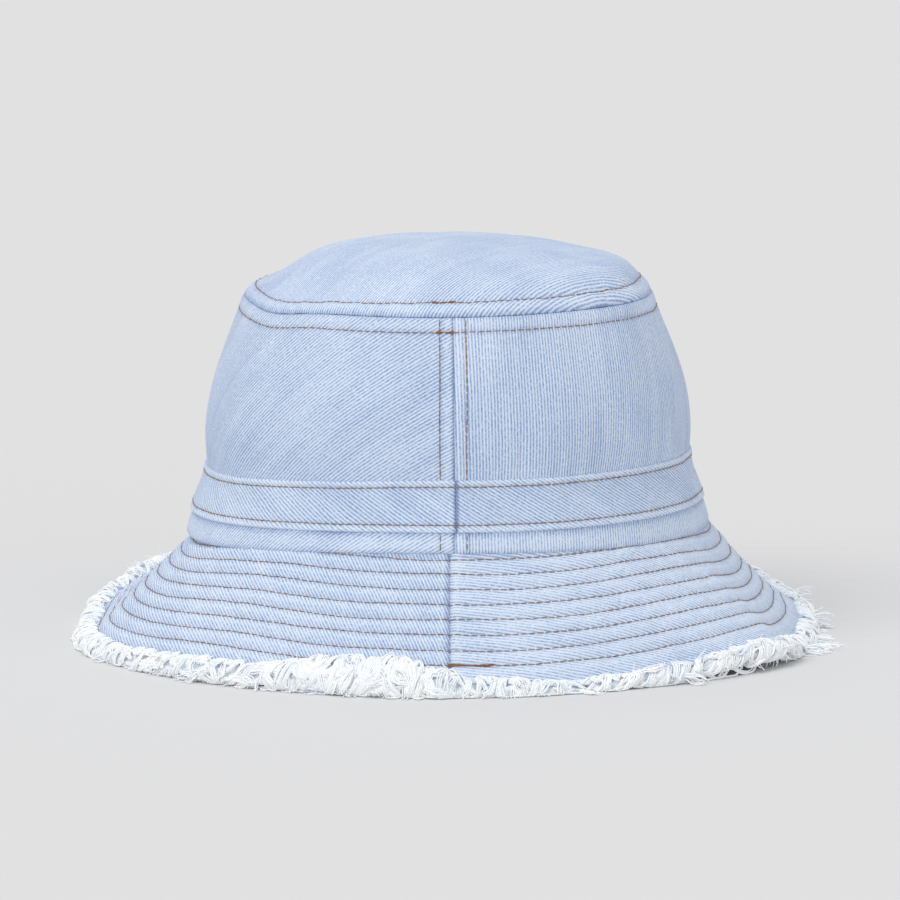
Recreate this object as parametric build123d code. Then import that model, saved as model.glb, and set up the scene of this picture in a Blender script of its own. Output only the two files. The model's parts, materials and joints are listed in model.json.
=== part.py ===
"""Bucket hat in washed denim, with a raw frayed brim edge, standing on its brim.

+Z is up, the table is z = 0, and the seam at the centre of the back faces -Y, so +Y is the wearer's front.
Every ply is drawn as a profile in the r-z plane, turned about Z, and then drawn out into the hat's oval.
Lengths are millimetres. Radii are those of the round hat that has the same girth as the oval one.
"""

from build123d import *
import os
from math import atan2, cos, degrees, radians, sin, sqrt, tan

# ---- the hat's shape ----
SEAM_RADIUS = 95.0        # crown's outer face at the brim seam
TIP_RADIUS = 74.2         # crown's outer face at the tip seam
OVALITY = 1.06            # front-to-back length over side-to-side width
CROWN_HEIGHT = 78.0       # brim seam to tip seam, measured upright
WALL_BULGE = 3.5          # how far the side wall bows out of a straight cone
DOME_RISE = 20.5          # tip seam to the top of the hat
SHOULDER_RADIUS = 30.0    # the tip's edge rolls over to the wall on this radius
SHOULDER_ANGLE = 50.0     # tilt of the tip's face at the tip seam, from level
BRIM_WIDTH = 53.0         # crown seam to cut edge, along the slope
BRIM_SLOPE = 47.5         # below level
EDGE_HEIGHT = 5.5         # the cut edge stands this far above the table

# ---- cloth ----
DENIM = 0.9
INTERLINING = 0.4
TAPE = 0.4
SWEATBAND = 0.6
LABEL = 0.4
CLEARANCE = 0.15          # between plies that only lie on each other
SEAM_GAP = 0.1            # between two panels sewn edge to edge
TIP_SEAM_GAP = 0.15       # between the allowances of tip and wall, inside the tip seam
BEND_DROP = 0.3           # the brim turns out this far below the crown's edge

# ---- seams ----
ALLOWANCE = 8.0           # cloth turned back behind a seam
BRIM_COLLAR = 9.0         # brim cloth turned up inside the crown
COLLAR_STEP = 0.5         # the under brim's collar is trimmed this much shorter
TAPE_WIDTH = 16.0
BAND_WIDTH = 17.5
BAND_LIFT = 6.3           # brim seam to the hat band's lower fold
BAND_HEM = 6.0
SWEATBAND_WIDTH = 30.0
SWEATBAND_LIFT = 1.0

# ---- topstitching ----
THREAD = 0.3              # thickness of a thread on the cloth
THREAD_WIDTH = 0.6
THREAD_LIFT = 0.05        # air between a thread and the cloth under it
TIP_ROW_INSET = 5.0       # tip seam to each of its two rows
SEAM_ROW_INSET = 5.0      # crown seam to each of its two rows
BAND_TOP_INSET = 2.2
BAND_BOTTOM_INSET = 2.7
SWEATBAND_ROW_INSET = 2.5
BRIM_ROWS = 9             # the last of them runs round the left panels only
FIRST_ROW = 3.6           # crown seam to the first brim row
LAST_ROW_MARGIN = 3.4     # last brim row to the cut edge
INTERLINING_START = 2.0
INTERLINING_MARGIN = 1.5

# ---- frayed edge ----
FRAY_LENGTH = 10.5        # loose yarn beyond the cut edge
FRAY_OVERLAP = 5.0        # yarn curled back over the upper brim
FRAY_LOFT = 2.6           # how thick that yarn lies
FRAY_RIM = 1.2            # thickness at the yarn's tips

# ---- labels ----
SIZE_LABEL_WIDTH = 18.0
SIZE_LABEL_HEIGHT = 14.0
CARE_LABEL_WIDTH = 20.0
CARE_LABEL_LENGTH = 26.0
CARE_LABEL_AIR = 0.5      # between the hanging label and the sweatband

BACK, FRONT, LEFT, RIGHT = -90, 90, 180, 0
FULL_TURN, HALF_TURN = 360, 180


class Arc:
    """An arc in the r-z plane that runs anticlockwise. Its outer side faces away from its centre."""

    def __init__(self, centre, radius, start, sweep):
        self.centre, self.radius, self.start, self.sweep = centre, radius, start, sweep
        self.length = radius * sweep

    def point(self, along, out=0.0):
        angle = self.start + along / self.radius
        reach = self.radius + out
        return (self.centre[0] + reach * cos(angle), 0, self.centre[1] + reach * sin(angle))

    def edge(self, begin, end, out):
        return ThreePointArc(*(self.point(a, out) for a in (begin, (begin + end) / 2, end)))


def loop(*edges):
    """Joins edges in order with straight lines and closes them into a face. A bare point is a corner."""
    ends = [(e, e) if isinstance(e, tuple) else (tuple(e @ 0), tuple(e @ 1)) for e in edges]
    joined = [e for e in edges if not isinstance(e, tuple)]
    for (_, end), (begin, _) in zip(ends, ends[1:] + ends[:1]):
        if (Vector(end) - Vector(begin)).length > 1e-6:
            joined.append(Line(end, begin))
    return make_face(joined)


def ribbon(path, begin, end, inner, outer):
    """A ply between two offsets of a path of arcs, from one length along the path to another."""
    spans, passed = [], 0.0
    for arc in path:
        low, high = max(begin - passed, 0), min(end - passed, arc.length)
        if high > low:
            spans.append((arc, low, high))
        passed += arc.length
    outside = [arc.edge(low, high, outer) for arc, low, high in spans]
    inside = [arc.edge(high, low, inner) for arc, low, high in reversed(spans)]
    return loop(*outside, *inside)


def turned(face, centre=0.0, sweep=FULL_TURN):
    """Turns a profile about Z through an angle that is centred on an azimuth, in degrees."""
    solid = revolve(face, Axis.Z, sweep)
    return solid.rotate(Axis.Z, centre - sweep / 2)


def crossing(p, d, q, e):
    """Where the line from p along d meets the line from q along e, in the r-z plane."""
    across = d[0] * e[1] - d[1] * e[0]
    share = ((q[0] - p[0]) * e[1] - (q[2] - p[2]) * e[0]) / across
    return (p[0] + share * d[0], 0, p[2] + share * d[1])


# ---- places that follow from the sizes ----
SLOPE = radians(BRIM_SLOPE)
SEAM_HEIGHT = EDGE_HEIGHT + BRIM_WIDTH * sin(SLOPE) + BEND_DROP
TIP_HEIGHT = SEAM_HEIGHT + CROWN_HEIGHT
TOP_HEIGHT = TIP_HEIGHT + DOME_RISE
SIDE_SCALE, LENGTH_SCALE = 1 / sqrt(OVALITY), sqrt(OVALITY)
HALF_PANEL = HALF_TURN - degrees(SEAM_GAP / SEAM_RADIUS)

# Behind the crown's ply lie its turned back allowance, the two brim collars and the sweatband.
INSIDE_ALLOWANCE = -2 * DENIM
UPPER_COLLAR = (INSIDE_ALLOWANCE - CLEARANCE - DENIM, INSIDE_ALLOWANCE - CLEARANCE)
UNDER_COLLAR = (UPPER_COLLAR[0] - CLEARANCE - DENIM, UPPER_COLLAR[0] - CLEARANCE)
SWEATBAND_PLY = (UNDER_COLLAR[0] - CLEARANCE - SWEATBAND, UNDER_COLLAR[0] - CLEARANCE)
TAPE_PLY = (INSIDE_ALLOWANCE - CLEARANCE - TAPE, INSIDE_ALLOWANCE - CLEARANCE)
LABEL_PLY = (SWEATBAND_PLY[0] - CLEARANCE - LABEL, SWEATBAND_PLY[0] - CLEARANCE)
THREAD_PLY = (THREAD_LIFT, THREAD_LIFT + THREAD)
CROSSING_THREAD_PLY = (THREAD_PLY[1] + THREAD_LIFT, THREAD_PLY[1] + THREAD_LIFT + THREAD)
BAND_PLY = (THREAD_PLY[1] + CLEARANCE, THREAD_PLY[1] + CLEARANCE + 2 * DENIM)

# Down through the brim: upper ply, interlining and under ply.
UPPER_PLY = (-DENIM, 0.0)
INTERLINING_PLY = (UPPER_PLY[0] - CLEARANCE - INTERLINING, UPPER_PLY[0] - CLEARANCE)
UNDER_PLY = (INTERLINING_PLY[0] - CLEARANCE - DENIM, INTERLINING_PLY[0] - CLEARANCE)


def wall_arc():
    """The crown's side wall, from the brim seam up to the tip seam."""
    inset = SEAM_RADIUS - TIP_RADIUS
    chord = sqrt(inset**2 + CROWN_HEIGHT**2)
    radius = chord**2 / (8 * WALL_BULGE) + WALL_BULGE / 2
    middle = ((SEAM_RADIUS + TIP_RADIUS) / 2, (SEAM_HEIGHT + TIP_HEIGHT) / 2)
    back = radius - WALL_BULGE
    centre = (middle[0] - back * CROWN_HEIGHT / chord, middle[1] - back * inset / chord)
    start = atan2(SEAM_HEIGHT - centre[1], SEAM_RADIUS - centre[0])
    end = atan2(TIP_HEIGHT - centre[1], TIP_RADIUS - centre[0])
    return Arc(centre, radius, start, end - start)


def tip_arcs():
    """The tip, from the tip seam in to the top: a shoulder arc that runs into a flatter dome arc."""
    lean = radians(SHOULDER_ANGLE)
    run = TIP_RADIUS - SHOULDER_RADIUS * sin(lean)
    rise = DOME_RISE - SHOULDER_RADIUS * (1 - cos(lean))
    extra = (run**2 + rise**2) / (2 * rise)
    blend = atan2(run, extra - rise)
    dome_radius = SHOULDER_RADIUS + extra
    dome_centre = (0.0, TOP_HEIGHT - dome_radius)
    shoulder_centre = (run, TIP_HEIGHT - SHOULDER_RADIUS * cos(lean))
    quarter = radians(90)
    shoulder = Arc(shoulder_centre, SHOULDER_RADIUS, quarter - lean, lean - blend)
    return [shoulder, Arc(dome_centre, dome_radius, quarter - blend, blend)]


WALL = wall_arc()
TIP = tip_arcs()
TIP_LENGTH = sum(arc.length for arc in TIP)
TIP_TURN = TIP[0].start - WALL.start - WALL.length / WALL.radius
TIP_GROOVE = TIP_SEAM_GAP - 2 * INSIDE_ALLOWANCE * tan(TIP_TURN / 2)
UP_THE_WALL = (-sin(WALL.start), cos(WALL.start))
BRIM_DIRECTION = (cos(SLOPE), -sin(SLOPE))
BEND = WALL.point(-BEND_DROP, UPPER_COLLAR[1])


def on_brim(along, out=0.0):
    """A point on the brim, that far out along its slope and that far above its upper face."""
    r = BEND[0] + along * cos(SLOPE) + out * sin(SLOPE)
    return (r, 0, BEND[2] - along * sin(SLOPE) + out * cos(SLOPE))


def brim_strip(begin, end, inner, outer):
    return loop(on_brim(begin, outer), on_brim(end, outer), on_brim(end, inner), on_brim(begin, inner))


def brim_panel(collar, ply, collar_height):
    """A brim ply whose inner edge is turned up inside the crown."""
    outer, inner = (
        crossing(WALL.point(0, off), UP_THE_WALL, on_brim(0, depth), BRIM_DIRECTION)
        for off, depth in ((collar[1], ply[1]), (collar[0], ply[0]))
    )
    return loop(
        on_brim(BRIM_WIDTH, ply[1]),
        outer,
        WALL.edge(0, collar_height, collar[1]),
        WALL.edge(collar_height, 0, collar[0]),
        inner,
        on_brim(BRIM_WIDTH, ply[0]),
    )


def save(name, *solids, oval=True, flat_base=False):
    """Writes one node. The parts of revolution are drawn out into the hat's oval first."""
    if oval:
        solids = [scale(s, by=(SIDE_SCALE, LENGTH_SCALE, 1), about=(0, 0, 0)) for s in solids]
    if flat_base:
        table = Box(4 * TOP_HEIGHT, 4 * TOP_HEIGHT, TOP_HEIGHT, align=(Align.CENTER, Align.CENTER, Align.MAX))
        solids = [s - table for s in solids]
    flat = [one for s in solids for one in s.solids()]
    export_step(flat[0] if len(flat) == 1 else Compound(children=flat), f"parts/{name}.step")


def crown_tip():
    cloth = ribbon(TIP, TIP_GROOVE / 2, TIP_LENGTH, -DENIM, 0)
    allowance = ribbon(TIP, TIP_GROOVE / 2, ALLOWANCE, INSIDE_ALLOWANCE, -DENIM)
    save("crown_tip", turned(cloth + allowance))


def crown_sides():
    """Two wall panels. Each is doubled by its own allowance along all four edges."""
    top = WALL.length - TIP_GROOVE / 2
    cloth = ribbon([WALL], 0, top, -DENIM, 0)
    lower = ribbon([WALL], 0, ALLOWANCE, INSIDE_ALLOWANCE, -DENIM)
    upper = ribbon([WALL], top - ALLOWANCE, top, INSIDE_ALLOWANCE, -DENIM)
    upright = ribbon([WALL], 0, top, INSIDE_ALLOWANCE, -DENIM)
    allowance_angle = degrees(ALLOWANCE / SEAM_RADIUS)
    for name, side in (("crown_side_left", LEFT), ("crown_side_right", RIGHT)):
        shift = (HALF_PANEL - allowance_angle) / 2
        edges = [turned(upright, side + s * shift, allowance_angle) for s in (-1, 1)]
        save(name, turned(cloth + lower + upper, side, HALF_PANEL) + edges[0] + edges[1])


def hat_band():
    """One strip with both long edges hemmed behind it, its ends butted at the back."""
    low, high = BAND_LIFT, BAND_LIFT + BAND_WIDTH
    face = ribbon([WALL], low, high, BAND_PLY[0] + DENIM, BAND_PLY[1])
    hems = [
        ribbon([WALL], a, b, BAND_PLY[0], BAND_PLY[0] + DENIM)
        for a, b in ((low, low + BAND_HEM), (high - BAND_HEM, high))
    ]
    sweep = FULL_TURN - degrees(SEAM_GAP / SEAM_RADIUS)
    save("hat_band", turned(face + hems[0] + hems[1], FRONT, sweep))


def brim_panels():
    upper = brim_panel(UPPER_COLLAR, UPPER_PLY, BRIM_COLLAR)
    under = brim_panel(UNDER_COLLAR, UNDER_PLY, BRIM_COLLAR - COLLAR_STEP)
    for side_name, side in (("left", LEFT), ("right", RIGHT)):
        save(f"upper_brim_{side_name}", turned(upper, side, HALF_PANEL))
        save(f"under_brim_{side_name}", turned(under, side, HALF_PANEL))
    stiff = brim_strip(INTERLINING_START, BRIM_WIDTH - INTERLINING_MARGIN, *INTERLINING_PLY)
    save("brim_interlining", turned(stiff))


def sweatband():
    top = SWEATBAND_LIFT + SWEATBAND_WIDTH
    sweep = FULL_TURN - degrees(SEAM_GAP / SEAM_RADIUS)
    save("sweatband", turned(ribbon([WALL], SWEATBAND_LIFT, top, *SWEATBAND_PLY), FRONT, sweep))
    row = SWEATBAND_LIFT + SWEATBAND_ROW_INSET
    on_face = (SWEATBAND_PLY[0] - THREAD_PLY[1], SWEATBAND_PLY[0] - THREAD_PLY[0])
    save("sweatband_stitch", turned(ribbon([WALL], row, row + THREAD_WIDTH, *on_face)))


def seam_tapes():
    """Tape over the allowances: one ring inside the tip seam and one strip inside each crown seam."""
    half = TAPE_WIDTH / 2
    top = WALL.length - TIP_GROOVE / 2
    ring = loop(
        WALL.edge(top - half, top, TAPE_PLY[1]),
        TIP[0].edge(TIP_GROOVE / 2, half, TAPE_PLY[1]),
        TIP[0].edge(half, TIP_GROOVE / 2, TAPE_PLY[0]),
        WALL.edge(top, top - half, TAPE_PLY[0]),
    )
    save("tip_seam_tape", turned(ring))
    strip = ribbon([WALL], BRIM_COLLAR + CLEARANCE, top - half - CLEARANCE, *TAPE_PLY)
    for name, seam in (("back_seam_tape", BACK), ("front_seam_tape", FRONT)):
        save(name, turned(strip, seam, degrees(TAPE_WIDTH / SEAM_RADIUS)))


def crown_stitches():
    """Topstitching either side of the tip seam and of both crown seams, and along the band's edges."""
    half = THREAD_WIDTH / 2
    save("tip_stitch_upper", turned(ribbon(TIP, TIP_ROW_INSET - half, TIP_ROW_INSET + half, *THREAD_PLY)))
    row = WALL.length - TIP_ROW_INSET
    save("tip_stitch_lower", turned(ribbon([WALL], row - half, row + half, *CROSSING_THREAD_PLY)))
    upright = ribbon([WALL], half, WALL.length - TIP_GROOVE, *THREAD_PLY)
    inset = degrees(SEAM_ROW_INSET / SEAM_RADIUS)
    width = degrees(THREAD_WIDTH / SEAM_RADIUS)
    for name, seam, turn in (("back", BACK, 1), ("front", FRONT, -1)):
        save(f"{name}_seam_stitch_left", turned(upright, seam - turn * inset, width))
        save(f"{name}_seam_stitch_right", turned(upright, seam + turn * inset, width))
    on_band = tuple(BAND_PLY[1] + lift for lift in THREAD_PLY)
    for name, row in (
        ("band_stitch_lower", BAND_LIFT + BAND_BOTTOM_INSET),
        ("band_stitch_upper", BAND_LIFT + BAND_WIDTH - BAND_TOP_INSET),
    ):
        save(name, turned(ribbon([WALL], row - half, row + half, *on_band)))


def brim_stitches():
    """Rows round the brim, each a needle thread on the upper face and a bobbin thread on the under face."""
    half = THREAD_WIDTH / 2
    pitch = (BRIM_WIDTH - FIRST_ROW - LAST_ROW_MARGIN) / (BRIM_ROWS - 1)
    below = (UNDER_PLY[0] - THREAD_PLY[1], UNDER_PLY[0] - THREAD_PLY[0])
    for row in range(1, BRIM_ROWS + 1):
        at = FIRST_ROW + (row - 1) * pitch
        where = (LEFT, HALF_PANEL) if row == BRIM_ROWS else (RIGHT, FULL_TURN)
        threads = [turned(brim_strip(at - half, at + half, *ply), *where) for ply in (THREAD_PLY, below)]
        save(f"brim_stitch_{row}", *threads)


def frayed_edge():
    """Loose yarn of the raw edge: the upper ply's lies over the brim, the under ply's down on the table."""
    start = BRIM_WIDTH + CLEARANCE
    low, middle = on_brim(start, UNDER_PLY[0]), on_brim(start, INTERLINING_PLY[1])
    tip_r = middle[0] + FRAY_LENGTH * cos(SLOPE)
    under = loop(low, middle, (tip_r, 0, FRAY_RIM), (tip_r - FRAY_RIM, 0, -FRAY_RIM), (low[0], 0, -FRAY_RIM))
    save("under_brim_fray", turned(under), flat_base=True)
    rest = THREAD_PLY[1] + CLEARANCE
    upper = loop(
        on_brim(start, INTERLINING_PLY[1] + 2 * CLEARANCE),
        on_brim(start, rest),
        on_brim(BRIM_WIDTH - FRAY_OVERLAP, rest),
        on_brim(BRIM_WIDTH - FRAY_OVERLAP + FRAY_RIM, FRAY_LOFT),
        on_brim(start, FRAY_LOFT),
        (tip_r + FRAY_RIM, 0, FRAY_LOFT + FRAY_RIM),
        (tip_r, 0, FRAY_RIM + 2 * CLEARANCE),
    )
    save("upper_brim_fray", turned(upper))


def labels():
    """A blank size label sewn flat to the sweatband at the back, and a care label that hangs at the left."""
    middle = SWEATBAND_LIFT + SWEATBAND_WIDTH / 2
    patch = ribbon([WALL], middle - SIZE_LABEL_HEIGHT / 2, middle + SIZE_LABEL_HEIGHT / 2, *LABEL_PLY)
    save("size_label", turned(patch, BACK, degrees(SIZE_LABEL_WIDTH / SEAM_RADIUS)))
    top = WALL.point(SWEATBAND_LIFT + SWEATBAND_WIDTH, SWEATBAND_PLY[0])
    reach = SIDE_SCALE * top[0]
    bow = reach - reach * sqrt(1 - (CARE_LABEL_WIDTH / 2 / (LENGTH_SCALE * top[0])) ** 2)
    face = -(reach - bow - CARE_LABEL_AIR)
    hanging = Box(LABEL, CARE_LABEL_WIDTH, CARE_LABEL_LENGTH, align=(Align.MIN, Align.CENTER, Align.MAX))
    save("care_label", Pos(face, 0, top[2]) * hanging, oval=False)


os.makedirs("parts", exist_ok=True)
crown_tip()
crown_sides()
hat_band()
brim_panels()
sweatband()
seam_tapes()
crown_stitches()
brim_stitches()
frayed_edge()
labels()
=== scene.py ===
"""Bucket hat in washed denim with a frayed brim edge: cloth panels, topstitching, loose yarn and lining.

A place on the hat is an azimuth in radians, from the centre of the back and growing to the wearer's right,
and a distance along the panel in metres. The brim runs down from the crown seam, the wall up to the tip seam.
"""

import json
import math
import random
from functools import lru_cache

import bmesh
import bpy
from bpy.props import FloatProperty, FloatVectorProperty, PointerProperty
from mathutils import Matrix, Vector, noise

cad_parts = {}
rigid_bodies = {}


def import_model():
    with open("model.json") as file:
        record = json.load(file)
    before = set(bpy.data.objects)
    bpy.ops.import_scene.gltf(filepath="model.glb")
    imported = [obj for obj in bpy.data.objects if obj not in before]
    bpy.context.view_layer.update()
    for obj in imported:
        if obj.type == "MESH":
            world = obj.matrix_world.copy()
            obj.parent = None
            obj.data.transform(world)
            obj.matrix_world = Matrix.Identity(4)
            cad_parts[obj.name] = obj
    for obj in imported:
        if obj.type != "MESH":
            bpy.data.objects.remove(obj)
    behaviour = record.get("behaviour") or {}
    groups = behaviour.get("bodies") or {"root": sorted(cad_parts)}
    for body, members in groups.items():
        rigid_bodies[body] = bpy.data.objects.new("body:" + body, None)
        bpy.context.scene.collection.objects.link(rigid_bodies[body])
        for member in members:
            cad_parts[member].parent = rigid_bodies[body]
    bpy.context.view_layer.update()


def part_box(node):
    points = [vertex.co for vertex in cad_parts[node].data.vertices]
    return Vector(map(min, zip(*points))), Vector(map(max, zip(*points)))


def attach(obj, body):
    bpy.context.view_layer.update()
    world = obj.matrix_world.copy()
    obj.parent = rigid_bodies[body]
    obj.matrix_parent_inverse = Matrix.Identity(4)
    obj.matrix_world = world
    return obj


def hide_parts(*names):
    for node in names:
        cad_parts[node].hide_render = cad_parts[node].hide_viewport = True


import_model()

bl_info = {
    "name": "Frayed denim bucket hat",
    "version": (1, 0, 0),
    "blender": (4, 5, 0),
    "location": "View3D > Sidebar > Hat",
    "description": "Makes a washed denim bucket hat with rows of topstitching and a frayed brim edge",
    "category": "Add Mesh",
}

MM = 0.001
HALF_TURN = math.pi


# ---- the hat's main sizes, read from the frame ----

wall_low, wall_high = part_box("crown_side_left")
tip_low, tip_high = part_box("crown_tip")
SEAM_OVAL = Vector((-wall_low.x, wall_high.y))
TIP_OVAL = Vector((tip_high.x, tip_high.y))
SEAM_HEIGHT = wall_low.z
TIP_HEIGHT = wall_high.z + 0.3 * MM
TOP_RISE = tip_high.z - TIP_HEIGHT
LABEL_LOW, LABEL_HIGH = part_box("care_label")

# ---- cloth and seams ----

DENIM = 0.9 * MM
INTERLINING = 0.4 * MM
BRIM = 53 * MM
FIRST_ROW = 3.6 * MM
LAST_ROW_MARGIN = 3.4 * MM
BRIM_ROWS = 9
ROW_PITCH = (BRIM - FIRST_ROW - LAST_ROW_MARGIN) / (BRIM_ROWS - 1)
TUCK = 1.5 * MM
SEAM_INSET = 5 * MM
CROWN_SEAM_AT = 2.4 * MM / SEAM_OVAL.y
BRIM_SEAM_AT = 0.6 * MM / SEAM_OVAL.y
BAND_JOIN_AT = 3.2 * MM / SEAM_OVAL.y
BAND_TOP_INSET = 2.3 * MM
BAND_BOTTOM_INSET = 2.7 * MM
BAND_RISE = 0.9 * MM
SWEATBAND_HEIGHTS = (-1.6 * MM, 29 * MM)
SWEATBAND_DEPTH = 2.7 * MM
SWEATBAND_DENT = 1.1 * MM
SWEATBAND_ROW = 2.5 * MM
TAPE_WIDTH = 16 * MM
TAPE_THICKNESS = 0.4 * MM
LABEL_THICKNESS = 0.35 * MM

# ---- grain of each panel: the twill line's angle on its flat pattern, in degrees ----

GRAIN = {
    "tip": 50,
    "wall_left": 51,
    "wall_right": 69,
    "brim_left": 173,
    "brim_right": 116,
    "band": 150,
}


def hill(x, centre, width):
    """A smooth hill of height 1."""
    return math.exp(-(((x - centre) / width) ** 2))


def turned_by(a, b):
    """The signed turn from azimuth b to azimuth a."""
    return math.remainder(a - b, math.tau)


def around(azimuth, centre, width):
    """A smooth hill in azimuth, its centre and width in degrees."""
    return hill(turned_by(azimuth, math.radians(centre)), 0, math.radians(width))


def ridge(azimuth, centre, width):
    """A hill with a nearly sharp crest, its centre and width in degrees."""
    away = math.degrees(turned_by(azimuth, math.radians(centre)))
    return math.exp((1.2 - math.hypot(away, 1.2)) / width)


def ease(x, low, high):
    share = min(1, max(0, (x - low) / (high - low)))
    return share * share * (3 - 2 * share)


def outward(azimuth):
    return Vector((math.sin(azimuth), -math.cos(azimuth), 0))


def oval(size, azimuth):
    return Vector((size.x * math.sin(azimuth), -size.y * math.cos(azimuth), 0))


def ripple(azimuth, along, size, seed, stretch=1.0):
    """Noise over the hat's surface, about -1 to 1. size is its wavelength, stretch its length round it."""
    reach = 0.11 / (size * stretch)
    place = (math.sin(azimuth) * reach, math.cos(azimuth) * reach, along / size + seed * 7.3)
    return noise.noise(Vector(place)) * 1.6


def front_share(azimuth):
    """0 round the back and the sides, 1 round the wearer's front, where the brim stands off the table."""
    return ease(abs(turned_by(azimuth, 0)), math.radians(88), math.radians(138))


# ---- the wall ----

def seam_height(azimuth):
    """The crown's lower edge hangs lower at the sides than at the back, most of all at the left."""
    side = math.sin(azimuth)
    return SEAM_HEIGHT + 0.4 * MM - (4.55 - 1.95 * side) * MM * side * side


def tip_height(azimuth):
    """The tip seam is higher at the right and dips at its soft left corner."""
    corner = 1.7 * around(azimuth, -56, 12)
    return TIP_HEIGHT + (0.8 * math.sin(azimuth) - corner + 0.5 * around(azimuth, -90, 20)) * MM


def wall_rise(azimuth):
    return tip_height(azimuth) - seam_height(azimuth)


def wall_out(azimuth, share, along, rise):
    """How far the wall stands off the straight cone: belly, the pinch under the band, corners and puckers."""
    belly = max(0, 1 - ((share - 0.63) / 0.42) ** 2) ** 2 * 2.9
    pinch = -1.8 * hill(share, 0.25, 0.11)
    corner = share * (1.5 * around(azimuth, -62, 17) - 1.3 * around(azimuth, -25, 24))
    corner += share * (0.9 * around(azimuth, 62, 16) - 0.8 * around(azimuth, 30, 20))
    soft = 0.75 * ripple(azimuth, along, 38 * MM, 1, 0.8) * min(1, share * 5, (1 - share) * 6)
    soft -= 0.9 * around(azimuth, 17.5, 1.3) * hill(along, 31 * MM, 8 * MM)
    soft -= 0.6 * around(azimuth, -20 + (share - 0.45) * 60, 3.5) * hill(share, 0.45, 0.12)
    soft -= 0.5 * around(azimuth, -42 + (share - 0.55) * 70, 4) * hill(share, 0.52, 0.14)
    seam_gap = abs(turned_by(azimuth, CROWN_SEAM_AT)) * SEAM_OVAL.y
    front_gap = abs(turned_by(azimuth, HALF_TURN)) * SEAM_OVAL.y
    from_tip = rise - along
    gap = min(seam_gap, front_gap)
    pucker = 0.22 * ripple(azimuth, along, 7 * MM, 2, 0.7) * hill(from_tip, 4 * MM, 6 * MM)
    pucker += 0.28 * ripple(azimuth, along, 6 * MM, 3, 1.2) * hill(gap, 5 * MM, 5 * MM)
    pucker += 0.22 * ripple(azimuth, along, 8 * MM, 4, 0.7) * hill(along, 2 * MM, 5 * MM)
    grooves = 0.4 * hill(from_tip, 0, 0.8 * MM) + 0.3 * hill(from_tip, SEAM_INSET, 0.9 * MM)
    grooves += 0.45 * hill(gap, 0, 0.7 * MM) + 0.3 * hill(gap, SEAM_INSET, 0.9 * MM)
    puff = 0.2 * ease(-gap, -SEAM_INSET - 1 * MM, -SEAM_INSET + 2 * MM)
    return (belly + pinch + corner + soft + pucker - grooves + puff) * MM


def wall_point(azimuth, along):
    """The wall's outer face. Its lower edge rolls in under itself, and its top is turned in under the tip."""
    rise = wall_rise(azimuth)
    up = min(rise, max(0, along))
    share = min(1, up / rise)
    place = oval(SEAM_OVAL, azimuth).lerp(oval(TIP_OVAL, azimuth), share)
    place += outward(azimuth) * wall_out(azimuth, share, up, rise)
    place.z = seam_height(azimuth) + up
    if along > rise:
        place -= outward(azimuth) * (along - rise) + Vector((0, 0, 0.3 * (along - rise)))
    if along < 0:
        roll = DENIM * 1.1
        angle = -along / roll
        place -= outward(azimuth) * roll * (1 - math.cos(angle))
        place.z -= roll * math.sin(angle)
    return place


# ---- the tip ----

def tip_point(azimuth, inset):
    """The domed tip. inset is the way in from the tip seam, as a share of the oval."""
    share = 1 - inset
    across = TIP_OVAL.x * inset
    place = oval(TIP_OVAL, azimuth) * share
    dome = max(0, 1 - share**2.5) ** 0.75
    fuller = 2.3 * MM * math.sin(azimuth) * hill(share, 0.87, 0.13) - 1.2 * MM * hill(share, 0.2, 0.35)
    flat = -1.3 * MM * hill(share, 0.8, 0.2) * around(azimuth, -70, 40)
    rim = min(1, inset * 9)
    soft = 0.7 * MM * ripple(azimuth, across, 34 * MM, 5) * min(1, inset * 4) * share
    pucker = 0.25 * MM * ripple(azimuth, across, 7 * MM, 6, 0.7) * hill(across, 3 * MM, 5 * MM)
    groove = 0.35 * MM * hill(across, 4.2 * MM, 0.9 * MM)
    place.z = TIP_HEIGHT + (tip_height(azimuth) - TIP_HEIGHT) * share**3
    place.z += TOP_RISE * dome + (fuller + flat) * rim + soft + pucker - groove
    corner = 1.5 * around(azimuth, -62, 17) - 1.3 * around(azimuth, -25, 24)
    corner += 0.9 * around(azimuth, 62, 16) - 0.8 * around(azimuth, 30, 20)
    place += outward(azimuth) * (corner - 0.4 * hill(across, 0, 0.8 * MM)) * MM * share**2
    return place


# ---- the brim ----

def edge_height(azimuth):
    """Height of the brim's cut edge over the table."""
    lifted = 8.5 * front_share(azimuth) + 3.6 * around(azimuth, 50, 16)
    lifted += 2.4 * around(azimuth, -42, 17)
    lifted += 1.4 * around(azimuth, -150, 22)
    lowered = 1.4 * around(azimuth, -86, 26) + 0.9 * around(azimuth, 4, 26)
    lifted += 1.0 * around(azimuth, 79, 12)
    return (3.4 + lifted - lowered) * MM


def row_at(row):
    return FIRST_ROW + row * ROW_PITCH


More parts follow.
